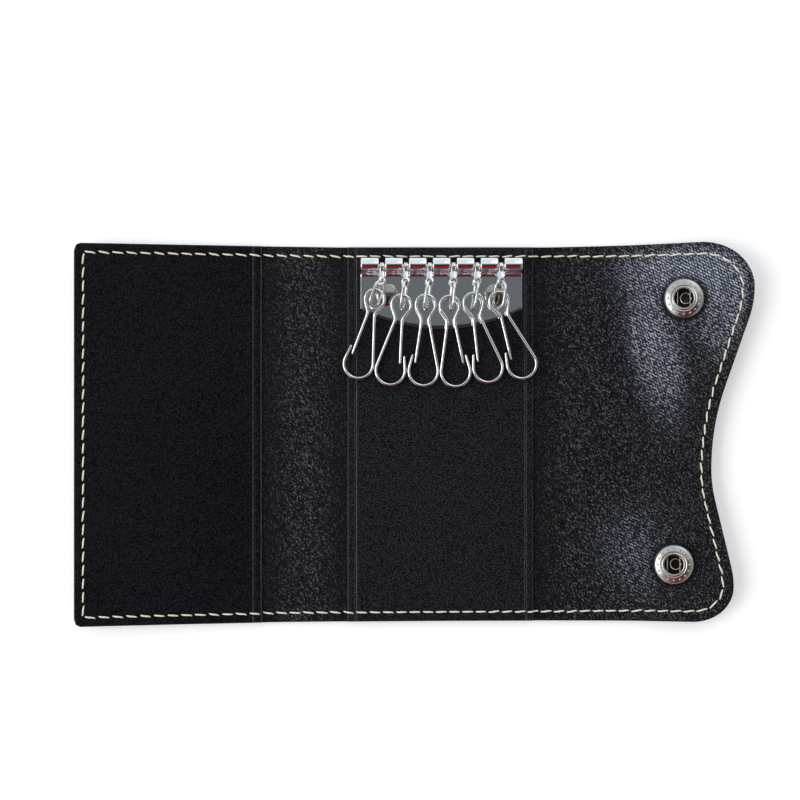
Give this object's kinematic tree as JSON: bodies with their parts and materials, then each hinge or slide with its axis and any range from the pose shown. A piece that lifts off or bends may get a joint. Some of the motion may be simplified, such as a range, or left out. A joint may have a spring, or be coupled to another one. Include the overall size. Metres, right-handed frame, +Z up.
{
  "type": "key case",
  "caption": "Folding black leather key case with a chromed bar of swinging key hooks, a pocket panel and a wavy flap closed by snap fasteners.",
  "frame": {"origin": "middle of the opened case's box, on the surface that it lies on", "axes": "+X from the left panel to the flap, +Y towards the edge with the key bar, +Z up out of the inside face"},
  "size_m": [0.1962, 0.1098, 0.0094],
  "materials": {
    "outer_leather": "pebbled black hide, semi-matt",
    "grained_lining": "fine grained black lining, soft sheen",
    "smooth_leather": "smooth black leather, matt",
    "chrome": "mirror chrome plating",
    "nickel": "bright nickel plating",
    "brass": "plain brass",
    "spring_steel": "bright drawn steel"
  },
  "bodies": {
    "centre": {"bar_rivet_left": "chrome", "bar_rivet_right": "chrome", "centre_panel": "smooth_leather", "hinge_rod": "chrome", "key_bar_plate": "chrome", "lining_centre": "grained_lining", "outer_leather_centre": "outer_leather", "rivet_back_left": "spring_steel", "rivet_back_right": "spring_steel"},
    "left_spine": {"lining_left_spine": "grained_lining", "outer_leather_left_spine": "outer_leather"},
    "left_panel": {"left_pocket_panel": "smooth_leather", "lining_left_panel": "grained_lining", "outer_leather_left_panel": "outer_leather", "snap_stud_lower": "nickel", "snap_stud_upper": "nickel", "stud_post_lower": "brass", "stud_post_upper": "brass"},
    "right_spine": {"lining_right_spine": "grained_lining", "outer_leather_right_spine": "outer_leather"},
    "flap": {"lining_flap": "grained_lining", "outer_leather_flap": "outer_leather", "snap_cap_lower": "nickel", "snap_cap_upper": "nickel", "snap_socket_lower": "nickel", "snap_socket_upper": "nickel", "snap_spring_lower": "spring_steel", "snap_spring_upper": "spring_steel"},
    "swing_strap_1": {"swing_strap_1": "chrome"},
    "link_ring_1": {"link_ring_1": "chrome"},
    "key_hook_1": {"key_hook_1": "chrome"},
    "swing_strap_2": {"swing_strap_2": "chrome"},
    "link_ring_2": {"link_ring_2": "chrome"},
    "key_hook_2": {"key_hook_2": "chrome"},
    "swing_strap_3": {"swing_strap_3": "chrome"},
    "link_ring_3": {"link_ring_3": "chrome"},
    "key_hook_3": {"key_hook_3": "chrome"},
    "swing_strap_4": {"swing_strap_4": "chrome"},
    "link_ring_4": {"link_ring_4": "chrome"},
    "key_hook_4": {"key_hook_4": "chrome"},
    "swing_strap_5": {"swing_strap_5": "chrome"},
    "link_ring_5": {"link_ring_5": "chrome"},
    "key_hook_5": {"key_hook_5": "chrome"},
    "swing_strap_6": {"swing_strap_6": "chrome"},
    "link_ring_6": {"link_ring_6": "chrome"},
    "key_hook_6": {"key_hook_6": "chrome"}
  },
  "joints": [
    {"name": "left_spine_fold", "type": "hinge", "parent": "centre", "child": "left_spine", "pos_m": [-0.02065, 0, 0.0018], "axis": [0, 1, 0], "range_deg": [0, 90]},
    {"name": "left_panel_fold", "type": "hinge", "parent": "left_spine", "child": "left_panel", "pos_m": [-0.04245, 0, 0.0018], "axis": [0, 1, 0], "range_deg": [0, 86.42]},
    {"name": "right_spine_fold", "type": "hinge", "parent": "centre", "child": "right_spine", "pos_m": [0.03625, 0, 0.0018], "axis": [0, -1, 0], "range_deg": [0, 90]},
    {"name": "flap_fold", "type": "hinge", "parent": "right_spine", "child": "flap", "pos_m": [0.06325, 0, 0.0018], "axis": [0, -1, 0], "range_deg": [0, 81.83]},
    {"name": "strap_swing_1", "type": "hinge", "parent": "centre", "child": "swing_strap_1", "pos_m": [-0.0091, 0.0484, 0.0047], "axis": [1, 0, 0], "range_deg": [-95, 0]},
    {"name": "ring_slide_1", "type": "hinge", "parent": "swing_strap_1", "child": "link_ring_1", "pos_m": [-0.00992, 0.04184, 0.0066], "axis": [0.779, -0.2835, 0.5592], "range_deg": [-40, 0]},
    {"name": "hook_swing_1", "type": "hinge", "parent": "link_ring_1", "child": "key_hook_1", "pos_m": [-0.01047, 0.04157, 0.0066], "axis": [0.9686, -0.2487, 0], "range_deg": [-30, 0]},
    {"name": "strap_swing_2", "type": "hinge", "parent": "centre", "child": "swing_strap_2", "pos_m": [-0.00222, 0.0484, 0.0047], "axis": [1, 0, 0], "range_deg": [-95, 0]},
    {"name": "ring_slide_2", "type": "hinge", "parent": "swing_strap_2", "child": "link_ring_2", "pos_m": [-0.00255, 0.04172, 0.0066], "axis": [0.9686, -0.1361, 0.2079], "range_deg": [-40, 0]},
    {"name": "hook_swing_2", "type": "hinge", "parent": "link_ring_2", "child": "key_hook_2", "pos_m": [-0.00307, 0.04007, 0.0066], "axis": [0.9863, -0.165, 0], "range_deg": [-30, 0]},
    {"name": "strap_swing_3", "type": "hinge", "parent": "centre", "child": "swing_strap_3", "pos_m": [0.00466, 0.0484, 0.0047], "axis": [1, 0, 0], "range_deg": [-95, 0]},
    {"name": "ring_slide_3", "type": "hinge", "parent": "swing_strap_3", "child": "link_ring_3", "pos_m": [0.00429, 0.04173, 0.0066], "axis": [0.9661, -0.153, 0.2079], "range_deg": [-40, 0]},
    {"name": "hook_swing_3", "type": "hinge", "parent": "link_ring_3", "child": "key_hook_3", "pos_m": [0.00358, 0.04011, 0.0066], "axis": [0.9994, -0.0332, 0], "range_deg": [-30, 0]},
    {"name": "strap_swing_4", "type": "hinge", "parent": "centre", "child": "swing_strap_4", "pos_m": [0.01154, 0.0484, 0.0047], "axis": [1, 0, 0], "range_deg": [-95, 0]},
    {"name": "ring_slide_4", "type": "hinge", "parent": "swing_strap_4", "child": "link_ring_4", "pos_m": [0.01137, 0.04171, 0.0066], "axis": [0.9879, -0.0691, -0.1392], "range_deg": [-40, 0]},
    {"name": "hook_swing_4", "type": "hinge", "parent": "link_ring_4", "child": "key_hook_4", "pos_m": [0.01012, 0.03976, 0.0066], "axis": [0.9956, 0.0941, 0], "range_deg": [-30, 0]},
    {"name": "strap_swing_5", "type": "hinge", "parent": "centre", "child": "swing_strap_5", "pos_m": [0.01842, 0.0484, 0.0047], "axis": [1, 0, 0], "range_deg": [-95, 0]},
    {"name": "ring_slide_5", "type": "hinge", "parent": "swing_strap_5", "child": "link_ring_5", "pos_m": [0.01805, 0.04173, 0.0066], "axis": [0.9781, -0.1549, -0.1392], "range_deg": [-40, 0]},
    {"name": "hook_swing_5", "type": "hinge", "parent": "link_ring_5", "child": "key_hook_5", "pos_m": [0.01658, 0.04055, 0.0066], "axis": [0.9744, 0.225, 0], "range_deg": [-30, 0]},
    {"name": "strap_swing_6", "type": "hinge", "parent": "centre", "child": "swing_strap_6", "pos_m": [0.0253, 0.0484, 0.0047], "axis": [1, 0, 0], "range_deg": [-95, 0]},
    {"name": "ring_slide_6", "type": "hinge", "parent": "swing_strap_6", "child": "link_ring_6", "pos_m": [0.02497, 0.04172, 0.0066], "axis": [0.8112, -0.114, -0.5736], "range_deg": [-40, 0]},
    {"name": "hook_swing_6", "type": "hinge", "parent": "link_ring_6", "child": "key_hook_6", "pos_m": [0.02365, 0.04082, 0.0066], "axis": [0.9373, 0.3486, 0], "range_deg": [-30, 0]}
  ]
}
